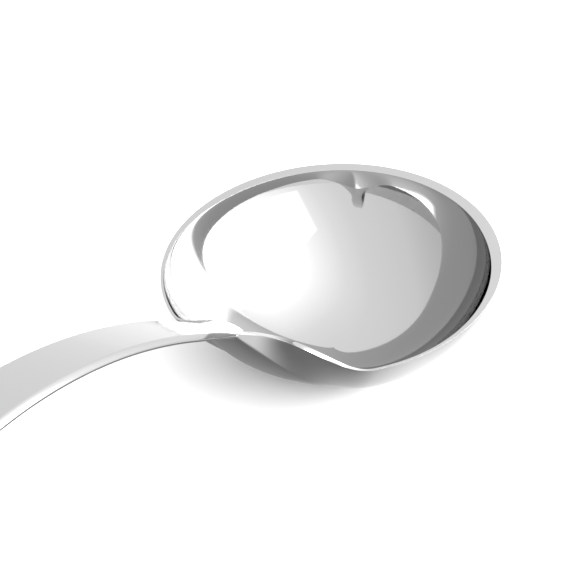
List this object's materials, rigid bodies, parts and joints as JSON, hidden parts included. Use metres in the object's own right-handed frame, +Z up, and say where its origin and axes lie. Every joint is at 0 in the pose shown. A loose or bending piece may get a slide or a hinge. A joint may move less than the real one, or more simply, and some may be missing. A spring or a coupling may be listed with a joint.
{
  "type": "sauce_ladle",
  "caption": "One-handled silver sauce ladle: a raised round bowl whose rim sweeps up into an arched, flat-topped stem",
  "frame": {"origin": "on the table, straight below the centre of the rim, on the small flat under the bowl", "axes": "Z is up from the table; X points from the stem to the free side of the rim; y = 0 is the middle plane"},
  "size_m": [0.2293, 0.0662, 0.0576],
  "materials": {
    "silver": "polished",
    "solder": "polished"
  },
  "bodies": {
    "root": {"bowl": "silver", "stem": "silver", "solder_seam": "solder"}
  },
  "joints": []
}
